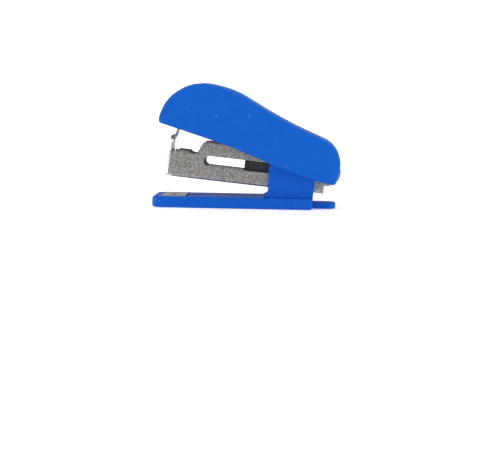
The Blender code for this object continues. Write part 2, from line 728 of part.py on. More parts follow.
def make_leaf():
    """Steel leaf under the cover: straight run, bend at the nose, forked end rolled round the hook pin."""
    roll, tangent, rise, knee = leaf_end()
    run = (Vector(LEAF_REAR) - knee).normalized()
    bend = [knee + run * 2.4, knee + run * 1.0 - rise * 0.35, knee + run * 0.35 - rise, knee - rise * 2.4]
    line = [tuple(p) for p in [Vector(LEAF_REAR), *bend, tangent + rise * 0.6]]
    line += arc(HOOK, roll, LEAF_LEAVES, LEAF_LEAVES - 265, 14)
    leaf = plate("hammer_leaf", [band(line, LEAF_THICK)], -LEAF_HALF, LEAF_HALF)
    cut(leaf, rod("fork_slot", HOOK, 2.9, -NECK_HALF - 0.2, NECK_HALF + 0.2))
    for web, x in enumerate(WEB_XS):
        cut(leaf, rod(f"leaf_hole_{web}", (x, 0), LEAF_RIVET_RADIUS + GAP, 15, 40, "Z", sides=16))
    return finish(leaf, ZINC, COVER_AXIS)


def make_leaf_rivet(name, x):
    """Rivet from below, through the leaf and up into one of the cover's posts."""
    under = leaf_height(x) - LEAF_THICK / 2 - GAP - 0.35
    rivet = rod(name, (x, 0), LEAF_RIVET_RADIUS, under - 0.1, under + 3.2, "Z", collection=STAPLER, sides=16)
    join(rivet, rod(f"{name}_head", (x, 0), 1.5, under - 0.6, under, "Z", sides=20))
    return finish(rivet, POLISHED, COVER_AXIS, True)


def make_hook_pin():
    """Thin pin in the leaf's fork, on which the blade hangs."""
    reach = LEAF_HALF + 0.15
    pin = rod("hook_pin", HOOK, HOOK_PIN_RADIUS, -reach, reach, collection=STAPLER, sides=16)
    return finish(pin, WIRE, COVER_AXIS, True)


def make_blade():
    """Driver blade: flat strip as wide as a staple, its narrow neck rolled over the hook pin."""
    roll = HOOK_PIN_RADIUS + HOOK_CLEAR + BLADE_THICK / 2
    hook = (HOOK_U, HOOK_V)
    line = [(BLADE_U, BLADE_TIP), (BLADE_U, BLADE_STRAIGHT), (HOOK_U + roll, HOOK_V - 0.4)]
    line += arc(hook, roll, 0, 250, 14)
    half = CROWN / 2 - 0.05
    blade = plate("driver_blade", [band(line, BLADE_THICK)], -half, half, MAGAZINE)
    for side in (-1, 1):
        near, far = sorted((side * NECK_HALF, side * 8))
        cut(blade, block(f"neck_{side}", (-5, near, NECK_LOW), (5, far, 15), MAGAZINE))
    return finish(blade, POLISHED, BLADE_AXIS)


# ---------------------------------------------------------------- the whole stapler

PLASTIC = material("blue_plastic", BLUE, 0.32, 0.0)
ZINC = material("zinc_plated_sheet", STEEL, 0.45, 0.9)
POLISHED = material("bright_steel", BRIGHT, 0.25, 1.0)
WIRE = material("spring_wire", STEEL, 0.35, 1.0)
NYLON = material("black_nylon", BLACK, 0.5, 0.0)

make_base()
make_anvil()
make_magazine_spring()
make_channel()
make_nose_plate()
make_rod_bracket()
make_bracket_rivet("bracket_rivet_near", RIVET_YS[0])
make_bracket_rivet("bracket_rivet_far", RIVET_YS[1])
make_pusher_rod()
make_pusher_spring()
make_staple_strip()
make_pusher()
make_rear_pin()
make_rear_bush()
make_return_spring()
make_cover()
make_leaf()
make_leaf_rivet("leaf_rivet_front", WEB_XS[0])
make_leaf_rivet("leaf_rivet_rear", WEB_XS[1])
make_hook_pin()
make_blade()
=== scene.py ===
# %% [markdown]
# # A mini desk stapler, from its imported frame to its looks
# The stapler's working model already exists: a frame of plain solids with real sizes and real joints.
# This lesson puts the surface on it. Each piece that shows is built again with the fine radii and
# edges that a moulder or a press would leave, and it rides on the body that it belongs to.

# %% Load the frame
import math

import bmesh
import bpy
from mathutils import Matrix, Vector


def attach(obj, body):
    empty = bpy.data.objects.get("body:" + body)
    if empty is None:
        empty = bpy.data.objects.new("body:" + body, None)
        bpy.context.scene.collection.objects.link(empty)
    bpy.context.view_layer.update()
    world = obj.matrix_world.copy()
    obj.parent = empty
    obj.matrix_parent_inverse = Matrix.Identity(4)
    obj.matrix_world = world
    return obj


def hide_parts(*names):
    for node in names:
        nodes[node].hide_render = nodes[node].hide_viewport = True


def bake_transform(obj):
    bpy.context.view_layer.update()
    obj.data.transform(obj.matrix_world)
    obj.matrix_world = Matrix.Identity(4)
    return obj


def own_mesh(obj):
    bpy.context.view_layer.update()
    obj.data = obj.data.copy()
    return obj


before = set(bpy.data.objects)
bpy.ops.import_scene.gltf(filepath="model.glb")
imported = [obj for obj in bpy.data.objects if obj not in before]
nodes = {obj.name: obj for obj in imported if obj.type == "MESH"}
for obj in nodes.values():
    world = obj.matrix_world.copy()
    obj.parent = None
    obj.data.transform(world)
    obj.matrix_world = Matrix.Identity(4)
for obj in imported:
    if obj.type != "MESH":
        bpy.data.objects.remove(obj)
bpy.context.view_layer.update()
MM = 0.001

# %% [markdown]
# ## Sizes that the pieces share
# Everything is drawn in millimetres and scaled once. The base, the cheeks and the cover lie in X and Z.
# The magazine tilts nose up, so it has a frame of its own: U runs back along the trough and V up from
# its underside. Its tilt and its lower front corner place that frame in the stapler.

# %% Shared sizes
TILT = math.radians(5.6)
NOSE = (-24.4, 9.7)
MAGAZINE = Matrix.Translation((NOSE[0] * MM, 0, NOSE[1] * MM)) @ Matrix.Rotation(TILT, 4, "Y")
REAR_PIN = (25.25, 11.75)
MAGAZINE_PIVOT = (13.65, 10.2)
HOOK = (-23.58, 21.86)
HALF_WIDTH = 9.0
BASE_TOP = 3.5
SHEET = 0.5
WALL_LOW, WALL_TALL = 8.15, 12  # V of the magazine's walls, at the nose and behind
EAR_RADIUS = 4.35
ROD_V = 2.75  # height of the pusher's rod in the magazine
RIVET_U, RIVET_YS = 45.6, (-3.3, 3.3)
EYE_PIN_RADIUS = 0.3
EYE_ROLL = 0.6  # centre line of the sheet rolled round the eye pin
LEAF_REAR = (19.0, 21.4)
LEAF_LEAVES = -18  # angle at which the leaf leaves its rolled eye


def to_magazine(x, z):
    point = MAGAZINE.inverted() @ Vector((x * MM, 0, z * MM))
    return point.x / MM, point.z / MM


PIN_U, PIN_V = to_magazine(*REAR_PIN)
STUD_U, STUD_V = to_magazine(*MAGAZINE_PIVOT)
HOOK_U, HOOK_V = to_magazine(*HOOK)
print(f"rear pin at U {PIN_U:.2f}, V {PIN_V:.2f} mm")

# %% [markdown]
# ## Camera, sweep and lights
# The stapler is small, so it is looked at from nearly side-on and from about half a metre, with a long
# lens. A white sweep curves up far behind it. Big soft lights stand above and to both sides, with a
# narrow strip on each side for the glints along upright edges. The side that the camera looks from
# stays dim, which keeps the blue plastic deep instead of chalky.

# %% Camera
AIM = Vector((0.0, -8.0, 19.5)) * MM
DISTANCE = 440 * MM
AZIMUTH, ELEVATION, ROLL = math.radians(3.0), math.radians(3.0), math.radians(0.85)

camera_data = bpy.data.cameras.new("camera")
camera_data.sensor_width = 36.0
camera_data.lens = 105.9
camera_data.shift_x, camera_data.shift_y = -0.0146, -0.1856  # the stapler sits low in the picture
camera_data.clip_start = 0.01
camera = bpy.data.objects.new("camera", camera_data)
bpy.context.scene.collection.objects.link(camera)
away = Vector((math.sin(AZIMUTH) * math.cos(ELEVATION), -math.cos(AZIMUTH) * math.cos(ELEVATION),
               math.sin(ELEVATION)))
camera.location = AIM + away * DISTANCE
turn = away.to_track_quat("Z", "Y").to_matrix().to_4x4() @ Matrix.Rotation(ROLL, 4, "Z")
camera.rotation_euler = turn.to_euler()
bpy.context.scene.camera = camera
print(f"lens {camera_data.lens:.1f} mm at {DISTANCE / MM:.0f} mm")


# %% Sweep
def make_sweep():
    """Floor that curves up into a wall, far behind the stapler."""
    radius, wall, front, side = 0.9, 2.4, -2.5, 3.0
    line = [(front, 0.0)]
    for i in range(25):
        angle = math.radians(-90 + 90 * i / 24)
        line.append((wall - radius + radius * math.cos(angle), radius + radius * math.sin(angle)))
    line.append((wall, 3.0))
    work = bmesh.new()
    rows = [[work.verts.new((x, y, z - 0.00002)) for y, z in line] for x in (-side, side)]
    for left, right in zip(zip(rows[0], rows[0][1:]), zip(rows[1], rows[1][1:])):
        work.faces.new((left[0], right[0], right[1], left[1]))
    mesh = bpy.data.meshes.new("sweep")
    work.to_mesh(mesh)
    work.free()
    mesh.shade_smooth()
    made = bpy.data.objects.new("sweep", mesh)
    bpy.context.scene.collection.objects.link(made)
    paper = bpy.data.materials.new("sweep_paper")
    paper.use_nodes = True
    shader = paper.node_tree.nodes["Principled BSDF"]
    shader.inputs["Base Color"].default_value = (0.93, 0.93, 0.93, 1)
    shader.inputs["Roughness"].default_value = 0.8
    shader.inputs["Specular IOR Level"].default_value = 0.1
    shader.inputs["Emission Color"].default_value = (1, 1, 1, 1)
    shader.inputs["Emission Strength"].default_value = 0.3
    mesh.materials.append(paper)
    made.visible_glossy = False


make_sweep()


# %% Lights
def math_node(tree, operation, a, b):
    """A Math node; each of a and b is a socket or a number."""
    made = tree.nodes.new("ShaderNodeMath")
    made.operation = operation
    for socket, value in zip(made.inputs, (a, b)):
        if isinstance(value, (int, float)):
            socket.default_value = value
        else:
            tree.links.new(value, socket)
    return made.outputs[0]


def soft_light(name, spot, aim, size, watts, tint=(1, 1, 1)):
    data = bpy.data.lights.new(name, "AREA")
    data.shape = "RECTANGLE"
    data.size, data.size_y = size
    data.energy = watts
    data.color = tint
    made = bpy.data.objects.new(name, data)
    made.location = spot
    made.rotation_euler = (Vector(spot) - Vector(aim)).to_track_quat("Z", "Y").to_euler()
    bpy.context.scene.collection.objects.link(made)


soft_light("top_light", (0.0, 0.1, 1.1), (0, 0, 0), (1.8, 1.6), 5)
soft_light("left_light", (-0.75, -0.45, 0.45), (0, 0, 0.02), (0.5, 0.7), 0.9)
soft_light("right_light", (0.85, -0.35, 0.4), (0, 0, 0.02), (0.35, 0.7), 0.8)
soft_light("left_strip", (-0.9, -0.22, 0.2), (0, -0.22, 0.2), (0.07, 1.0), 0.9)
soft_light("right_strip", (0.9, -0.22, 0.2), (0, -0.22, 0.2), (0.07, 1.0), 0.9)
soft_light("front_fill", (-0.15, -1.5, 1.0), (0, 0, 0.02), (1.4, 0.8), 0.5)
soft_light("wall_light", (0.0, 0.9, 1.4), (0, 2.3, 0.5), (2.4, 0.6), 26)


FRONT_SKY = [(0.0, 0.9), (0.38, 0.9), (0.44, 0.22), (0.52, 0.28), (0.66, 0.34), (0.85, 0.7), (1.0, 0.8)]
BACK_SKY = [(0.0, 0.9), (0.38, 0.9), (0.46, 0.5), (0.55, 0.5), (0.60, 0.12), (0.85, 0.2), (1.0, 0.8)]


def sky(tree, height, levels):
    """Brightness by height: 0 is straight down, 0.5 the horizon and 1 straight up."""
    ramp = tree.nodes.new("ShaderNodeValToRGB")
    tree.links.new(height, ramp.inputs["Fac"])
    steps = ramp.color_ramp.elements
    steps[1].position = 1.0
    for position, _ in levels[1:-1]:
        steps.new(position)
    for step, (_, level) in zip(steps, levels):
        step.color = (level, level, level, 1)
    return ramp.outputs["Color"]


def light_world():
    """Room seen in reflections: bright below and above, dim at the horizon, lighter to both sides."""
    world = bpy.data.worlds.new("studio")
    bpy.context.scene.world = world
    world.use_nodes = True
    tree = world.node_tree
    place = tree.nodes.new("ShaderNodeTexCoord")
    split = tree.nodes.new("ShaderNodeSeparateXYZ")
    tree.links.new(place.outputs["Generated"], split.inputs[0])
    height = math_node(tree, "ADD", math_node(tree, "MULTIPLY", split.outputs["Z"], 0.5), 0.5)
    front, back = sky(tree, height, FRONT_SKY), sky(tree, height, BACK_SKY)
    behind = math_node(tree, "MULTIPLY", split.outputs["Y"], 5.0)
    behind.node.use_clamp = True
    change = math_node(tree, "MULTIPLY", math_node(tree, "SUBTRACT", back, front), behind)
    sideways = math_node(tree, "POWER", math_node(tree, "ABSOLUTE", split.outputs["X"], 0.0), 6.0)
    glow = math_node(tree, "ADD", math_node(tree, "ADD", front, change),
                     math_node(tree, "MULTIPLY", sideways, 0.6))
    tree.links.new(glow, tree.nodes["Background"].inputs["Color"])


light_world()
bpy.context.scene.view_settings.view_transform = "Standard"

# %% [markdown]
# ## Outlines
# Most pieces of a stapler are either moulded around a side view or pressed from sheet, so they start as
# a flat outline. Four small helpers draw one: an arc, a polygon with rounded corners, a smooth line
# through points, and a band of even thickness along a line.


# %% Outline helpers
def arc(centre, radius, start, end, steps):
    angles = [math.radians(start + (end - start) * i / steps) for i in range(steps + 1)]
    return [(centre[0] + radius * math.cos(a), centre[1] + radius * math.sin(a)) for a in angles]


def rounded(corners, steps=8):
    """Closed outline of (x, y, radius) corners."""
    outline = []
    for i, (x, y, radius) in enumerate(corners):
        here = Vector((x, y))
        if not radius:
            outline.append((x, y))
            continue
        back = (Vector(corners[i - 1][:2]) - here).normalized()
        ahead = (Vector(corners[(i + 1) % len(corners)][:2]) - here).normalized()
        half = back.angle(ahead) / 2
        centre = here + (back + ahead).normalized() * (radius / math.sin(half))
        first = here + back * (radius / math.tan(half)) - centre
        last = here + ahead * (radius / math.tan(half)) - centre
        sweep = math.atan2(first.x * last.y - first.y * last.x, first.dot(last))
        start = math.atan2(first.y, first.x)
        for k in range(steps + 1):
            angle = start + sweep * k / steps
            outline.append((centre.x + radius * math.cos(angle), centre.y + radius * math.sin(angle)))
    return outline


def smooth(points, steps):
    """A smooth line through the points (Catmull-Rom)."""
    line = []
    knots = [Vector(p) for p in [points[0]] + points + [points[-1]]]
    for a, b, c, d in zip(knots, knots[1:], knots[2:], knots[3:]):
        for k in range(steps):
            t = k / steps
            line.append(0.5 * (2 * b + (c - a) * t + (2 * a - 5 * b + 4 * c - d) * t**2
                               + (3 * b - a - 3 * c + d) * t**3))
    line.append(knots[-1])
    return [tuple(p) for p in line]


def beside(line, distance):
    """The line moved sideways, to its right for a positive distance."""
    moved = []
    for i, here in enumerate(line):
        before = Vector(line[max(i - 1, 0)])
        after = Vector(line[min(i + 1, len(line) - 1)])
        along = (after - before).normalized()
        moved.append((here[0] + along.y * distance, here[1] - along.x * distance))
    return moved


def band(line, thick):
    return beside(line, thick / 2) + beside(line, -thick / 2)[::-1]


# %% [markdown]
# ## Solids
# A pressed or moulded solid is the outline given a depth. Real edges are never perfectly sharp: a small
# bevel catches the light, and weighted normals keep the flats flat beside it. Cuts and joins are
# Booleans, worked out at once so that each finished piece is one plain mesh.


# %% Solid helpers
def to_object(name, work, place=Matrix()):
    """Turns a bmesh drawn in millimetres into an object whose place is in its mesh."""
    bmesh.ops.recalc_face_normals(work, faces=work.faces)
    mesh = bpy.data.meshes.new(name)
    work.to_mesh(mesh)
    work.free()
    mesh.transform(place @ Matrix.Scale(MM, 4))
    made = bpy.data.objects.new(name, mesh)
    bpy.context.scene.collection.objects.link(made)
    return made


def prism(name, outline, low, high, place=Matrix()):
    """A flat piece drawn in X and Z, between two values of Y."""
    work = bmesh.new()
    face = work.faces.new([work.verts.new((x, low, z)) for x, z in outline])
    grown = bmesh.ops.extrude_face_region(work, geom=[face])["geom"]
    far_side = [v for v in grown if isinstance(v, bmesh.types.BMVert)]
    bmesh.ops.translate(work, vec=(0, high - low, 0), verts=far_side)
    return to_object(name, work, place)


def tower(name, rings, place=Matrix()):
    """A solid through a stack of closed rings of equal length, capped at both ends."""
    work = bmesh.new()
    loops = [[work.verts.new(point) for point in ring] for ring in rings]
    count = len(loops[0])
    for lower, upper in zip(loops, loops[1:]):
        for i in range(count):
            j = (i + 1) % count
            work.faces.new((lower[i], lower[j], upper[j], upper[i]))
    work.faces.new(loops[0][::-1])
    work.faces.new(loops[-1])
    return to_object(name, work, place)


def turned(name, centre, profile, axis="Y", place=Matrix(), sides=48):
    """A round solid from (radius, place along the axis) steps; centre gives the other two coordinates."""
    rings = []
    for radius, along in profile:
        ring = []
        for i in range(sides):
            a, b = (radius * math.cos(2 * math.pi * i / sides), radius * math.sin(2 * math.pi * i / sides))
            spots = {"X": (along, centre[0] + a, centre[1] + b), "Y": (centre[0] + a, along, centre[1] + b),
                     "Z": (centre[0] + a, centre[1] + b, along)}
            ring.append(spots[axis])
        rings.append(ring)
    return tower(name, rings, place)


def rod(name, centre, radius, low, high, axis="Y", place=Matrix(), sides=48, edge=0.0):
    """A cylinder, its ends eased by edge."""
    if not edge:
        return turned(name, centre, [(radius, low), (radius, high)], axis, place, sides)
    profile = [(radius - edge, low), (radius - 0.3 * edge, low + 0.3 * edge), (radius, low + edge),
               (radius, high - edge), (radius - 0.3 * edge, high - 0.3 * edge), (radius - edge, high)]
    return turned(name, centre, profile, axis, place, sides)


def block(name, low, high, place=Matrix()):
    ring = [(low[0], low[1]), (high[0], low[1]), (high[0], high[1]), (low[0], high[1])]
    return tower(name, [[(x, y, z) for x, y in ring] for z in (low[2], high[2])], place)


def settle(made):
    """Works the modifiers out into a plain mesh."""
    bpy.context.view_layer.update()
    mesh = bpy.data.meshes.new_from_object(made.evaluated_get(bpy.context.evaluated_depsgraph_get()))
    made.modifiers.clear()
    made.data = mesh
    return made


def boolean(made, operation, others):
    for other in others:
        modifier = made.modifiers.new(other.name, "BOOLEAN")
        modifier.operation = operation
        modifier.object = other
        modifier.solver = "EXACT"
    settle(made)
    for other in others:
        bpy.data.objects.remove(other, do_unlink=True)
    return made


def cut(made, *others):
    return boolean(made, "DIFFERENCE", others)


def join(made, *others):
    return boolean(made, "UNION", others)


def ease(made, width, segments=2, angle=38):
    """Rounds every edge sharper than the angle."""
    work = bmesh.new()
    work.from_mesh(made.data)
    bmesh.ops.remove_doubles(work, verts=work.verts, dist=2e-6)
    bmesh.ops.dissolve_limit(work, angle_limit=math.radians(0.4), verts=work.verts, edges=work.edges)
    work.to_mesh(made.data)
    work.free()
    modifier = made.modifiers.new("eased edges", "BEVEL")
    modifier.width = width * MM
    modifier.segments = segments
    modifier.limit_method = "ANGLE"
    modifier.angle_limit = math.radians(angle)
    modifier.use_clamp_overlap = False
    modifier.miter_outer = "MITER_ARC"
    return settle(made)


def piece(made, look, body, slot, *stands_for):
    """Gives a finished solid its normals, material and body."""
    made.data.materials.clear()
    made.data.materials.append(look)
    made.data.shade_smooth()
    made.data.set_sharp_from_angle(angle=math.radians(38))
    weighted = made.modifiers.new("weighted normals", "WEIGHTED_NORMAL")
    weighted.keep_sharp = True
    settle(made)
    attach(made, body)
    if stands_for:
        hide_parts(*stands_for)
    print(f"{made.name}: {len(made.data.polygons)} faces on {body}")
    return made


# %% [markdown]
# ## Surfaces
# Every finish is procedural. Three small node groups do the shared work: a fine grain that tilts the
# normal, a mottle that gives a mask, and stray specks of dust. All of them read Object coordinates,
# which are the stapler's own metres because each piece sits at the origin.


# %% Shared node groups
def new_group(name, inputs, outputs):
    group = bpy.data.node_groups.new(name, "ShaderNodeTree")
    for label, value in inputs.items():
        socket = group.interface.new_socket(label, in_out="INPUT", socket_type="NodeSocketFloat")
        socket.default_value = value
    for label, kind in outputs.items():
        group.interface.new_socket(label, in_out="OUTPUT", socket_type=kind)
    return group, group.nodes.new("NodeGroupInput"), group.nodes.new("NodeGroupOutput")


def noise_node(tree, size, detail, stretch=(1, 1, 1)):
    """Noise with features about size millimetres wide."""
    place = tree.nodes.new("ShaderNodeTexCoord")
    shape = tree.nodes.new("ShaderNodeMapping")
    shape.inputs["Scale"].default_value = stretch
    noise = tree.nodes.new("ShaderNodeTexNoise")
    noise.inputs["Detail"].default_value = detail
    tree.links.new(place.outputs["Object"], shape.inputs["Vector"])
    tree.links.new(shape.outputs["Vector"], noise.inputs["Vector"])
    tree.links.new(math_node(tree, "DIVIDE", 1 / MM, size), noise.inputs["Scale"])
    return noise.outputs["Fac"]


def make_grain():
    group, given, out = new_group("fine_grain", {"Size mm": 0.3, "Depth mm": 0.01},
                                  {"Normal": "NodeSocketVector"})
    bump = group.nodes.new("ShaderNodeBump")
    group.links.new(noise_node(group, given.outputs["Size mm"], 2.0), bump.inputs["Height"])
    group.links.new(math_node(group, "MULTIPLY", given.outputs["Depth mm"], MM), bump.inputs["Distance"])
    group.links.new(bump.outputs["Normal"], out.inputs["Normal"])
    return group


def make_mottle():
    group, given, out = new_group("mottle", {"Size mm": 0.5, "Contrast": 3.0}, {"Mask": "NodeSocketFloat"})
    away = math_node(group, "SUBTRACT", noise_node(group, given.outputs["Size mm"], 3.0), 0.5)
    wide = math_node(group, "MULTIPLY", away, given.outputs["Contrast"])
    middle = math_node(group, "ADD", wide, 0.5)
    middle.node.use_clamp = True
    group.links.new(middle, out.inputs["Mask"])
    return group


def make_dust():
    group, given, out = new_group("dust", {"Spacing mm": 3.0, "Size mm": 0.12}, {"Mask": "NodeSocketFloat"})
    place = group.nodes.new("ShaderNodeTexCoord")
    cells = group.nodes.new("ShaderNodeTexVoronoi")
    group.links.new(place.outputs["Object"], cells.inputs["Vector"])
    group.links.new(math_node(group, "DIVIDE", 1 / MM, given.outputs["Spacing mm"]), cells.inputs["Scale"])
    far = math_node(group, "MULTIPLY", cells.outputs["Distance"], given.outputs["Spacing mm"])
    close = math_node(group, "SUBTRACT", given.outputs["Size mm"], far)
    soft = math_node(group, "MULTIPLY", close, 20.0)
    soft.node.use_clamp = True
    group.links.new(soft, out.inputs["Mask"])
    return group


GRAIN, MOTTLE, DUST = make_grain(), make_mottle(), make_dust()
print("node groups:", [group.name for group in (GRAIN, MOTTLE, DUST)])


# %% Finishes
def use_group(tree, group, **values):
    made = tree.nodes.new("ShaderNodeGroup")
    made.node_tree = group
    for label, value in values.items():
        made.inputs[label.replace("_", " ")].default_value = value
    return made


def mix_colours(tree, mask, first, second):
    made = tree.nodes.new("ShaderNodeMix")
    made.data_type = "RGBA"
    tree.links.new(mask, made.inputs["Factor"])
    for socket, value in ((made.inputs["A"], first), (made.inputs["B"], second)):
        if isinstance(value, tuple):
            socket.default_value = (*value, 1)
        else:
            tree.links.new(value, socket)
    return made.outputs["Result"]


def finish_of(name, first, second, mottle, grain, rough, metal=0.0, specular=0.5, dust=None):
    """A material of two mottled tones, a fine grain and, on plastic, stray dust."""
    made = bpy.data.materials.new(name)
    made.use_nodes = True
    tree = made.node_tree
    shader = tree.nodes["Principled BSDF"]
    mask = use_group(tree, MOTTLE, Size_mm=mottle[0], Contrast=mottle[1]).outputs["Mask"]
    colour = mix_colours(tree, mask, first, second)
    if dust:
        specks = use_group(tree, DUST, Spacing_mm=dust[0], Size_mm=dust[1]).outputs["Mask"]
        colour = mix_colours(tree, specks, colour, (0.45, 0.6, 0.85))
    tree.links.new(colour, shader.inputs["Base Color"])
    tree.links.new(use_group(tree, GRAIN, Size_mm=grain[0], Depth_mm=grain[1]).outputs["Normal"],
                   shader.inputs["Normal"])
    level = math_node(tree, "ADD", math_node(tree, "MULTIPLY", mask, rough[1] - rough[0]), rough[0])
    tree.links.new(level, shader.inputs["Roughness"])
    shader.inputs["Metallic"].default_value = metal
    shader.inputs["Specular IOR Level"].default_value = specular
    return made


BLUE = finish_of("blue_moulding", (0.0050, 0.116, 0.585), (0.0065, 0.127, 0.62), (2.2, 2.0), (0.25, 0.004),
                 (0.28, 0.36), specular=0.08, dust=(3.0, 0.16))
BLUE_BASE = finish_of("blue_base_moulding", (0.006, 0.112, 0.58), (0.008, 0.126, 0.63), (2.0, 2.0),
                      (0.25, 0.004), (0.28, 0.36), specular=0.06, dust=(3.4, 0.10))
SHEET_STEEL = finish_of("zinc_plated_sheet", (0.24, 0.22, 0.20), (0.72, 0.70, 0.68), (0.40, 3.2),
                        (0.3, 0.012), (0.34, 0.52), metal=0.9)
BRIGHT_STEEL = finish_of("bright_steel", (0.80, 0.80, 0.80), (0.96, 0.96, 0.96), (0.4, 2.0), (0.3, 0.003),
                         (0.18, 0.28), metal=1.0)
STAPLE_STEEL = finish_of("staple_steel", (0.66, 0.66, 0.67), (0.80, 0.80, 0.81), (0.8, 2.0), (0.2, 0.002),
                         (0.22, 0.30), metal=1.0)
SPRING_STEEL = finish_of("spring_steel", (0.34, 0.33, 0.32), (0.48, 0.47, 0.46), (0.8, 2.0), (0.2, 0.002),
                         (0.25, 0.34), metal=1.0)
BLACK_NYLON = finish_of("black_nylon", (0.020, 0.024, 0.034), (0.030, 0.035, 0.048), (0.8, 2.0),
                        (0.25, 0.008), (0.42, 0.52))

# %% [markdown]
# ## Base moulding
# One moulding holds everything: a plate with softened edges, two cheeks that rise beside the magazine,
# the studs that the magazine swings on, a stop rib, the little spring's spigot and a tongue at the rear.
# The cheeks show a ring-shaped sink mark where the studs stand behind them.


# %% Build the base
def make_base():
    front, rear, thick = -29.6, 20.9, BASE_TOP
    rings = []
    for inset, z in ((0.12, 0), (0, 0.5 * thick), (0.12, thick)):
        low, high, side = front + inset, rear - inset, HALF_WIDTH - inset
        plan = rounded([(low, -side, 2.7), (high, -side, 1.2), (high, side, 1.2), (low, side, 2.7)], 10)
        rings.append([(x, y, z) for x, y in plan])
    base = tower("base_moulding", rings)
    ease(base, 0.7, 5, 50)
    cut(base, block("anvil_seat", (-27.25, -7.5, 2.8), (-18.65, 7.5, 4)),
        block("anvil_slot", (-20.25, -7.5, 1.8), (-18.65, 7.5, 4)))
    pockets = []
    for hand in (-1, 1):
        near, far = sorted((hand * 1.0, hand * 7.6))
        for column in range(4):
            low = -17.4 + 9.7 * column
            pockets.append(block(f"pocket_{hand}_{column}", (low, near, -1), (low + 8.3, far, 1.4)))
    cut(base, *pockets)

    cheek = rounded([(3.6, 1.6, 0), (3.6, 3.55, 0), (6.7, 3.55, 2.6), (7.15, 15.2, 2.6),
                     (20.9, 15.2, 3.6), (21.6, 9.5, 3), (20.7, 1.6, 0)], 14)
    parts = [block("stop_rib", (19.0, -6.2, 1.6), (20.3, 6.2, 4.9)),
             turned("spigot", (9.8, 0), [(1.2, 2.0), (1.2, 4.2), (0.9, 4.5)], "Z")]
    for hand in (-1, 1):
        near, far = sorted((hand * 5.8, hand * 7.3))
        side = ease(prism(f"cheek_{hand}", cheek, near, far), 0.25, 4)
        mark = rod("sink", MAGAZINE_PIVOT, 1.35, *sorted((hand * 7.22, hand * 8)))
        heart = rod("heart", MAGAZINE_PIVOT, 0.95, *sorted((hand * 7.0, hand * 7.27)), edge=0.04)
        join(cut(side, mark), heart)
        near, far = sorted((hand * 6.2, hand * 4.75))
        parts += [side, rod(f"stud_{hand}", MAGAZINE_PIVOT, 1.6, near, far, edge=0.2)]
    tongue_plan = rounded([(19.5, -3.6, 0), (28.1, -3.6, 3), (28.1, 3.6, 3), (19.5, 3.6, 0)], 12)
    tongue = tower("tongue", [[(x, y, 0) for x, y in tongue_plan], [(x, y, 2.0) for x, y in tongue_plan]])
    parts.append(ease(tongue, 0.5, 4))
    join(base, *parts)
    return piece(base, BLUE_BASE, "base", "base_plastic", "base_body")


make_base()

# %% [markdown]
# ## Anvil
# The bright plate that turns the staple's legs has two hollows, one for each leg, and a rear lip that
# hooks down into the base.


# %% Build the anvil
def make_anvil():
    outline = rounded([(-26.95, 3.1, 0), (-19.9, 3.1, 0), (-19.9, 2.1, 0), (-19.35, 2.1, 0),
                       (-19.35, 3.65, 0.35), (-26.95, 3.65, 0.2)], 6)
    anvil = prism("clinching_anvil", outline, -7.2, 7.2)
    hollows = []
    for hand in (-1, 1):
        work = bmesh.new()
        bmesh.ops.create_uvsphere(work, u_segments=32, v_segments=20, radius=1)
        spot = Matrix.Translation((-23.15, hand * 2.75, BASE_TOP + 0.35))
        work.transform(spot @ Matrix.Diagonal((0.95, 2.45, 0.6, 1)))
        hollows.append(to_object(f"hollow_{hand}", work))
    cut(anvil, *hollows)
    ease(anvil, 0.08, 2)
    return piece(anvil, BRIGHT_STEEL, "base", "bright_steel", "anvil_plate")


make_anvil()

# %% [markdown]
# ## Magazine
# The trough is one sheet folded to a U. Its side view is cut out first as a flat shape, and the U is
# trimmed by it: low walls at the nose, tall walls behind, a long window, and round ears at the hinge.


# %% Build the magazine
def make_trough():
    half, bend = 5.5, 1.0
    section = rounded([(-half, 13, 0), (-half, 0, bend), (half, 0, bend), (half, 13, 0),
                       (half - SHEET, 13, 0), (half - SHEET, SHEET, bend - SHEET),
                       (SHEET - half, SHEET, bend - SHEET), (SHEET - half, 13, 0)], 8)
    long = PIN_U + EAR_RADIUS + 1
    trough = tower("magazine_trough", [[(0, y, v) for y, v in section], [(long, y, v) for y, v in section]],
                   MAGAZINE)
    ear = arc((PIN_U, PIN_V), EAR_RADIUS, 75, -95, 32)
    side = rounded([(0.05, -1, 0), (0.05, WALL_LOW, 0.3), (5.6, WALL_LOW, 1.2), (7.6, 7.4, 1.6),
                    (9.65, WALL_TALL, 1.2), (39.5, WALL_TALL, 3), *[(u, v, 0) for u, v in ear],
                    (PIN_U - 0.4, -1, 0)], 10)
    boolean(trough, "INTERSECT", [prism("side_view", side, -8, 8, MAGAZINE)])
    window = rounded([(10.4, 4.5, 1.45), (35.6, 4.5, 1.45), (35.6, 7.7, 1.45), (10.4, 7.7, 1.45)], 12)
    cutters = [prism("window", window, -8, 8, MAGAZINE),
               block("staple_exit", (-1, -4.9, -1), (0.85, 4.9, 0.8), MAGAZINE),
               rod("stud_holes", (STUD_U, STUD_V), 1.9, -8, 8, place=MAGAZINE),
               rod("pin_holes", (PIN_U, PIN_V), 1.5, -8, 8, place=MAGAZINE)]
    cutters += [rod("floor_hole", (RIVET_U, y), 0.9, -1, 2, "Z", MAGAZINE, 24) for y in RIVET_YS]
    cut(trough, *cutters)
    tabs = []
    for hand in (-1, 1):
        near, far = sorted((hand * 3.75, hand * 5.4))
        tabs.append(block(f"tab_{hand}", (1.5, near, 8.0), (5.4, far, 8.55), MAGAZINE))
    join(trough, *tabs)
    ease(trough, 0.18, 3, 50)
    return piece(trough, SHEET_STEEL, "magazine", "zinc_sheet", "magazine_channel")


make_trough()


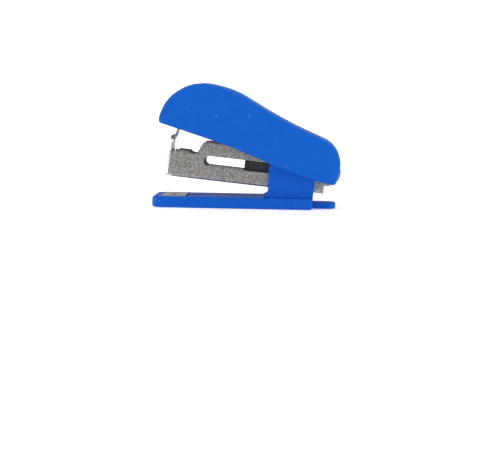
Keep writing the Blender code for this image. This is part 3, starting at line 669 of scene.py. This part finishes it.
# %% Build the nose plate and the rod's bracket
def make_nose_plate():
    plan = rounded([(-0.1, -5.5, 0.1), (-0.1, -5.15, 0.1), (-0.85, -5.15, 0.6), (-0.85, 5.15, 0.6),
                    (-0.1, 5.15, 0.1), (-0.1, 5.5, 0.1), (-1.15, 5.5, 0.95), (-1.15, -5.5, 0.95)], 8)
    nose = tower("nose_front", [[(u, y, v) for u, y in plan] for v in (0.1, WALL_LOW)], MAGAZINE)
    join(nose, block("nose_foot", (-1.45, -5.0, 0), (-1.0, 5.0, 0.45), MAGAZINE))
    cut(nose, block("hook_relief", (-3, -3.8, 4.4), (2, 3.8, 9), MAGAZINE))
    ease(nose, 0.08, 2)
    return piece(nose, BRIGHT_STEEL, "magazine", "bright_steel", "nose_plate")


def make_bracket():
    outline = rounded([(42.6, 0.8, 0.6), (47.4, 0.8, 0), (47.4, 1.4, 0), (43.2, 1.4, 0),
                       (43.2, 5.6, 0), (42.6, 5.6, 0)], 8)
    bracket = prism("rod_holder", outline, -4.5, 4.5, MAGAZINE)
    holes = [rod("foot_hole", (RIVET_U, y), 0.9, -1, 3, "Z", MAGAZINE, 24) for y in RIVET_YS]
    cut(bracket, rod("rod_hole", (0, ROD_V), 1.0, 40, 45, "X", MAGAZINE), *holes)
    ease(bracket, 0.08, 2)
    return piece(bracket, SHEET_STEEL, "magazine", "zinc_sheet", "rod_bracket")


make_nose_plate()
make_bracket()


# %% Build the rod, its rivets and the hinge sleeve
def make_round_pieces():
    guide = turned("follower_rod", (0, ROD_V), [
        (0.5, 2.0), (0.7, 2.2), (0.7, 43.5), (1.0, 43.5), (1.15, 43.65), (1.15, 43.95), (0.95, 44.1),
    ], "X", MAGAZINE)
    piece(guide, BRIGHT_STEEL, "magazine", "bright_steel", "pusher_rod")
    for name, y in zip(("near", "far"), RIVET_YS):
        rivet = turned(f"bracket_rivet_{name}_turned", (RIVET_U, y), [(0.6, -0.05), (0.6, 1.7), (0.95, 1.7),
                                                                   (1.0, 1.8), (0.85, 2.02), (0.5, 2.15)],
                       "Z", MAGAZINE)
        piece(rivet, SHEET_STEEL, "magazine", "zinc_sheet", f"bracket_rivet_{name}")
    sleeve = rod("hinge_sleeve", REAR_PIN, 1.9, -4.7, 4.7, edge=0.15)
    cut(sleeve, rod("bore", REAR_PIN, 1.35, -6, 6))
    piece(sleeve, BLACK_NYLON, "magazine", "black_nylon", "rear_bush")
    hinge_pin = rod("hinge_pin", REAR_PIN, 1.2, -7.9, 7.9, edge=0.15)
    piece(hinge_pin, BRIGHT_STEEL, "cover", "bright_steel", "rear_pin")


make_round_pieces()

# %% [markdown]
# ## Staples and springs
# What repeats is made with Geometry Nodes. A strip is one bent staple set again and again along the
# trough, and each coil is a spiral given a round wire. Each result is turned into a plain mesh.


# %% Geometry Nodes helpers
def new_geometry_group(name, inputs):
    group = bpy.data.node_groups.new(name, "GeometryNodeTree")
    group.interface.new_socket("Geometry", in_out="INPUT", socket_type="NodeSocketGeometry")
    for label, (kind, value) in inputs.items():
        socket = group.interface.new_socket(label, in_out="INPUT", socket_type=f"NodeSocket{kind}")
        if kind != "Material":
            socket.default_value = value
    group.interface.new_socket("Geometry", in_out="OUTPUT", socket_type="NodeSocketGeometry")
    return group, group.nodes.new("NodeGroupInput"), group.nodes.new("NodeGroupOutput")


def grow(made, group, **values):
    """Runs a geometry group on an object and keeps only the mesh."""
    modifier = made.modifiers.new(group.name, "NODES")
    modifier.node_group = group
    for socket in group.interface.items_tree:
        label = socket.name.replace(" ", "_")
        if socket.in_out == "INPUT" and label in values:
            modifier[socket.identifier] = values[label]
    return settle(made)


def make_strip_group():
    group, given, out = new_geometry_group("staple_strip", {
        "Count": ("Int", 44), "Step": ("Vector", (0, 0, 0)), "Material": ("Material", None)})
    line = group.nodes.new("GeometryNodeMeshLine")
    spread = group.nodes.new("GeometryNodeInstanceOnPoints")
    real = group.nodes.new("GeometryNodeRealizeInstances")
    paint = group.nodes.new("GeometryNodeSetMaterial")
    group.links.new(given.outputs["Count"], line.inputs["Count"])
    group.links.new(given.outputs["Step"], line.inputs["Offset"])
    group.links.new(line.outputs["Mesh"], spread.inputs["Points"])
    group.links.new(given.outputs["Geometry"], spread.inputs["Instance"])
    group.links.new(spread.outputs["Instances"], real.inputs["Geometry"])
    group.links.new(real.outputs["Geometry"], paint.inputs["Geometry"])
    group.links.new(given.outputs["Material"], paint.inputs["Material"])
    group.links.new(paint.outputs["Geometry"], out.inputs["Geometry"])
    return group


def make_coil_group():
    group, given, out = new_geometry_group("coil", {
        "Turns": ("Float", 5.0), "Radius": ("Float", 0.0015), "Length": ("Float", 0.01),
        "Wire": ("Float", 0.0002), "Place": ("Vector", (0, 0, 0)), "Turn": ("Vector", (0, 0, 0)),
        "Material": ("Material", None)})
    spiral = group.nodes.new("GeometryNodeCurveSpiral")
    spiral.inputs["Resolution"].default_value = 36
    ring = group.nodes.new("GeometryNodeCurvePrimitiveCircle")
    ring.inputs["Resolution"].default_value = 12
    tube = group.nodes.new("GeometryNodeCurveToMesh")
    tube.inputs["Fill Caps"].default_value = True
    move = group.nodes.new("GeometryNodeTransform")
    paint = group.nodes.new("GeometryNodeSetMaterial")
    for label, socket in (("Turns", "Rotations"), ("Radius", "Start Radius"), ("Radius", "End Radius"),
                          ("Length", "Height")):
        group.links.new(given.outputs[label], spiral.inputs[socket])
    group.links.new(given.outputs["Wire"], ring.inputs["Radius"])
    group.links.new(spiral.outputs["Curve"], tube.inputs["Curve"])
    group.links.new(ring.outputs["Curve"], tube.inputs["Profile Curve"])
    group.links.new(tube.outputs["Mesh"], move.inputs["Geometry"])
    group.links.new(given.outputs["Place"], move.inputs["Translation"])
    group.links.new(given.outputs["Turn"], move.inputs["Rotation"])
    group.links.new(move.outputs["Geometry"], paint.inputs["Geometry"])
    group.links.new(given.outputs["Material"], paint.inputs["Material"])
    group.links.new(paint.outputs["Geometry"], out.inputs["Geometry"])
    return group


STRIP_GROUP, COIL_GROUP = make_strip_group(), make_coil_group()


# %% Build the staples
def make_staples():
    first, last, count = 0.35, 23.0, 44
    pitch = (last - first) / count
    half, low, high, thick = 4.65, 0.6, 4.3, 0.5
    section = rounded([(-half, low, 0), (-half, high, 0.45), (half, high, 0.45), (half, low, 0),
                       (half - thick, low, 0), (half - thick, high - thick, 0.15),
                       (thick - half, high - thick, 0.15), (thick - half, low, 0)], 4)
    ends = (first + 0.02, first + pitch - 0.02)
    staple = tower("staples", [[(u, y, v) for y, v in section] for u in ends], MAGAZINE)
    ease(staple, 0.09, 1, 50)
    along = (MAGAZINE.to_3x3() @ Vector((pitch, 0, 0))) * MM
    grow(staple, STRIP_GROUP, Count=count, Step=along, Material=STAPLE_STEEL)
    return piece(staple, STAPLE_STEEL, "magazine", "staple_wire", "staple_strip")


make_staples()


# %% Build the springs
def make_coil(name, turns, radius, length, wire, place, turn):
    seed = bpy.data.objects.new(name, bpy.data.meshes.new(name))
    bpy.context.scene.collection.objects.link(seed)
    return grow(seed, COIL_GROUP, Turns=turns, Radius=radius * MM, Length=length * MM, Wire=wire * MM,
                Place=place, Turn=turn, Material=SPRING_STEEL)


def make_pusher_spring():
    start, end = 32.22, 42.08
    place = MAGAZINE @ Vector((start * MM, 0, ROD_V * MM))
    along = (0, math.radians(90) + TILT, 0)
    spring = make_coil("follower_spring", 7.58, 1.5, end - start, 0.22, place, along)
    piece(spring, SPRING_STEEL, "magazine", "spring_wire", "pusher_spring")
    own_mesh(spring)


def make_magazine_spring():
    spring = make_coil("lift_spring", 3.25, 1.85, 1.8, 0.25, (9.8 * MM, 0, 4.05 * MM), (0, 0, 0))
    piece(spring, SPRING_STEEL, "base", "spring_wire", "magazine_spring")
    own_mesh(spring)


def tangent_angle(spot, radius, side):
    away = Vector((spot[0] - REAR_PIN[0], spot[1] - REAR_PIN[1]))
    return math.degrees(math.atan2(away.y, away.x) + side * math.acos(radius / away.length))


def make_return_spring():
    """Torsion spring round the sleeve, built as one fixed mesh; on the real stapler its coils wind up as
    the cover turns.
    """
    radius, wire, half = 2.4, 0.3, 1.65
    foot = MAGAZINE @ Vector((46.2 * MM, 0, 2.0 * MM)) / MM
    tip = (15.8, 21.2)
    start = tangent_angle((foot.x, foot.z), radius, 1)
    end = tangent_angle(tip, radius, -1)
    sweep = (end - start) % 360 - 360 * 5
    steps = round(-sweep / 12)
    points = [(foot.x, half, foot.z)]
    for i in range(steps + 1):
        angle = math.radians(start + sweep * i / steps)
        points.append((REAR_PIN[0] + radius * math.cos(angle), half - 2 * half * i / steps,
                       REAR_PIN[1] + radius * math.sin(angle)))
    points.append((tip[0], -half, tip[1]))
    curve = bpy.data.curves.new("cover_spring", "CURVE")
    curve.dimensions = "3D"
    curve.bevel_depth = wire * MM
    curve.bevel_resolution = 3
    curve.use_fill_caps = True
    line = curve.splines.new("POLY")
    line.points.add(len(points) - 1)
    for knot, spot in zip(line.points, points):
        knot.co = (*[c * MM for c in spot], 1)
    made = bpy.data.objects.new("cover_spring_line", curve)
    bpy.context.scene.collection.objects.link(made)
    bpy.context.view_layer.update()
    mesh = bpy.data.meshes.new_from_object(made.evaluated_get(bpy.context.evaluated_depsgraph_get()))
    bpy.data.objects.remove(made, do_unlink=True)
    spring = bpy.data.objects.new("cover_spring", mesh)
    bpy.context.scene.collection.objects.link(spring)
    weld(spring)
    spring.data.materials.clear()
    spring.data.materials.append(SPRING_STEEL)
    spring.data.shade_smooth()
    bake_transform(spring)
    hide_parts("return_spring")


def weld(made):
    work = bmesh.new()
    work.from_mesh(made.data)
    bmesh.ops.remove_doubles(work, verts=work.verts, dist=1e-7)
    bmesh.ops.recalc_face_normals(work, faces=work.faces)
    work.to_mesh(made.data)
    work.free()


make_pusher_spring()
make_magazine_spring()
make_return_spring()

# %% [markdown]
# ## Pusher
# A black block that slides on the rod behind the staples. Three grooves through its front leave a comb
# of teeth above the staples.


# %% Build the pusher
def make_pusher():
    front, rear = 23.1, 31.7
    outline = rounded([(front, 0.9, 0.2), (rear, 0.9, 0.3), (rear, 8.0, 1.0), (front, 8.0, 0.3)], 6)
    pusher = ease(prism("staple_follower", outline, -4.4, 4.4, MAGAZINE), 0.2, 3)
    cutters = [rod("bore", (0, ROD_V), 1.0, 10, 60, "X", MAGAZINE)]
    for low in (5.25, 6.2, 7.15):
        cutters.append(block("groove", (front - 1, -5.4, low), (front + 1.5, 5.4, low + 0.4), MAGAZINE))
    cut(pusher, *cutters)
    return piece(pusher, BLACK_NYLON, "pusher_block", "black_nylon", "pusher")


make_pusher()

# %% [markdown]
# ## Cover, leaf and blade
# The cover is a hollow hump. Its long edges are rounded generously, while the sill below stays crisp.
# Under it a steel leaf runs to the nose, bends down and rolls into an eye, and the blade hangs there.


# %% Build the cover
BACK = [(-27.7, 26.9), (-27.65, 28.2), (-26.9, 30.5), (-25.6, 33.0), (-23.3, 35.55), (-20.5, 37.4),
        (-18.0, 38.5), (-15.5, 39.0), (-13.0, 38.98), (-10.3, 38.5), (-6.45, 37.5), (-2.55, 35.95),
        (1.35, 33.7), (6.6, 30.6), (11.8, 27.75), (17.0, 25.2), (22.2, 22.9), (24.8, 21.7),
        (26.1, 20.9), (27.4, 19.7), (28.5, 18.1), (29.15, 16.4), (29.4, 15.0), (29.4, 13.9),
        (29.1, 11.7), (28.5, 9.55), (27.85, 8.0)]
SILL = [(27.0, 7.95), (23.1, 8.85), (18.7, 10.2), (13.1, 12.0), (8.1, 14.0), (1.8, 16.6), (-5.7, 19.6),
        (-13.3, 22.1), (-20.8, 24.5), (-26.9, 26.4)]
WEBS = (-6.0, 9.0)


def leaf_end():
    """Where the leaf leaves its rolled eye, which way it rises, and its knee."""
    leave = math.radians(LEAF_LEAVES)
    tangent = Vector(HOOK) + EYE_ROLL * Vector((math.cos(leave), math.sin(leave)))
    rise = Vector((-math.sin(leave), math.cos(leave)))
    return tangent, rise, tangent + rise * 8.4


def leaf_height(x):
    knee = leaf_end()[2]
    return LEAF_REAR[1] + (knee.y - LEAF_REAR[1]) * (x - LEAF_REAR[0]) / (knee.x - LEAF_REAR[0])


def make_cover():
    back = smooth(BACK, 5)
    cover = prism("cover_moulding", back + smooth(SILL, 5), -HALF_WIDTH, HALF_WIDTH)
    work = bmesh.new()
    work.from_mesh(cover.data)
    on_back = {v for v in work.verts if any(math.dist((v.co.x / MM, v.co.z / MM), p) < 0.005 for p in back)}
    rim = [e for e in work.edges if abs(e.verts[0].co.y - e.verts[1].co.y) < 1e-6
           and on_back.issuperset(e.verts) and abs(e.verts[0].co.y) > 0.008]
    bmesh.ops.bevel(work, geom=rim, offset=1.4 * MM, segments=8, profile=0.5, affect="EDGES")
    work.to_mesh(cover.data)
    work.free()

    inside = [p for p in beside(back, 1.5) if p[1] > 17.4 or p[0] < 0]
    opening = [(inside[-1][0], 17.4), (33, 17), (33, 3), (20, 3), (inside[0][0] - 0.1, 23)]
    cut(cover, prism("hollow", inside + opening, -7.5, 7.5))
    ribs, holes = [], []
    for i, x in enumerate(WEBS):
        low = leaf_height(x) + 0.7
        high = next(z0 + (z1 - z0) * (x + 1.5 - x0) / (x1 - x0)
                    for (x0, z0), (x1, z1) in zip(back, back[1:]) if x0 <= x + 1.5 <= x1) - 0.3
        ribs.append(block(f"web_{i}", (x - 0.6, -8.0, low), (x + 0.6, 8.0, high)))
        ribs.append(rod(f"post_{i}", (x, 0), 1.5, low, high, "Z"))
        holes.append(rod(f"post_hole_{i}", (x, 0), 1.0, low - 1, low + 2.4, "Z"))
    for hand in (-1, 1):
        near, far = sorted((hand * 5.9, hand * 8.0))
        ribs.append(rod(f"pin_boss_{hand}", REAR_PIN, 2.5, near, far))
    join(cover, *ribs)
    cut(cover, *holes, rod("pin_hole", REAR_PIN, 1.5, -8.2, 8.2))
    ease(cover, 0.18, 3, 50)
    return piece(cover, BLUE, "cover", "cover_plastic", "cover_shell")


make_cover()


# %% Build the leaf and its rivets
def make_leaf():
    tangent, rise, knee = leaf_end()
    start = Vector(LEAF_REAR)
    run = (start - knee).normalized()
    a, b = knee + run * 2.4, knee - rise * 2.4
    steps = [i / 10 for i in range(11)]
    bend = [tuple((1 - t) ** 2 * a + 2 * t * (1 - t) * knee + t * t * b) for t in steps]
    line = [tuple(start), *bend, tuple(tangent + rise * 0.6)]
    line += arc(HOOK, EYE_ROLL, LEAF_LEAVES, LEAF_LEAVES - 265, 28)
    leaf = prism("hammer_strip", band(line, 0.4), -3.3, 3.3)
    cutters = [rod("fork_slot", HOOK, 2.9, -2.3, 2.3)]
    cutters += [rod("leaf_hole", (x, 0), 1.0, 15, 40, "Z") for x in WEBS]
    cut(leaf, *cutters)
    ease(leaf, 0.07, 2, 50)
    piece(leaf, SHEET_STEEL, "cover", "zinc_sheet", "hammer_leaf")
    for name, x in zip(("front", "rear"), WEBS):
        under = leaf_height(x) - 0.85
        rivet = turned(f"leaf_rivet_{name}_turned", (x, 0), [
            (0.8, under - 0.6), (1.3, under - 0.45), (1.5, under - 0.12), (1.5, under), (0.7, under),
            (0.7, under + 3.1), (0.6, under + 3.2)], "Z")
        piece(rivet, BRIGHT_STEEL, "cover", "bright_steel", f"leaf_rivet_{name}")
    eye = rod("eye_pin", HOOK, EYE_PIN_RADIUS, -3.45, 3.45, edge=0.06, sides=24)
    piece(eye, SPRING_STEEL, "cover", "spring_wire", "hook_pin")


make_leaf()


# %% Build the blade
def make_blade():
    blade_u, tip, straight = -0.3, 5.75, 10.8
    line = [(blade_u, tip), (blade_u, straight), (HOOK_U + EYE_ROLL, HOOK_V - 0.4)]
    line += arc((HOOK_U, HOOK_V), EYE_ROLL, 0, 250, 28)
    blade = prism("driver_strip", band(line, 0.4), -4.6, 4.6, MAGAZINE)
    necks = []
    for hand in (-1, 1):
        near, far = sorted((hand * 2.1, hand * 8))
        necks.append(block("neck", (-5, near, 10.6), (5, far, 15), MAGAZINE))
    cut(blade, *necks)
    ease(blade, 0.06, 2, 50)
    return piece(blade, BRIGHT_STEEL, "driver", "bright_steel", "driver_blade")


make_blade()
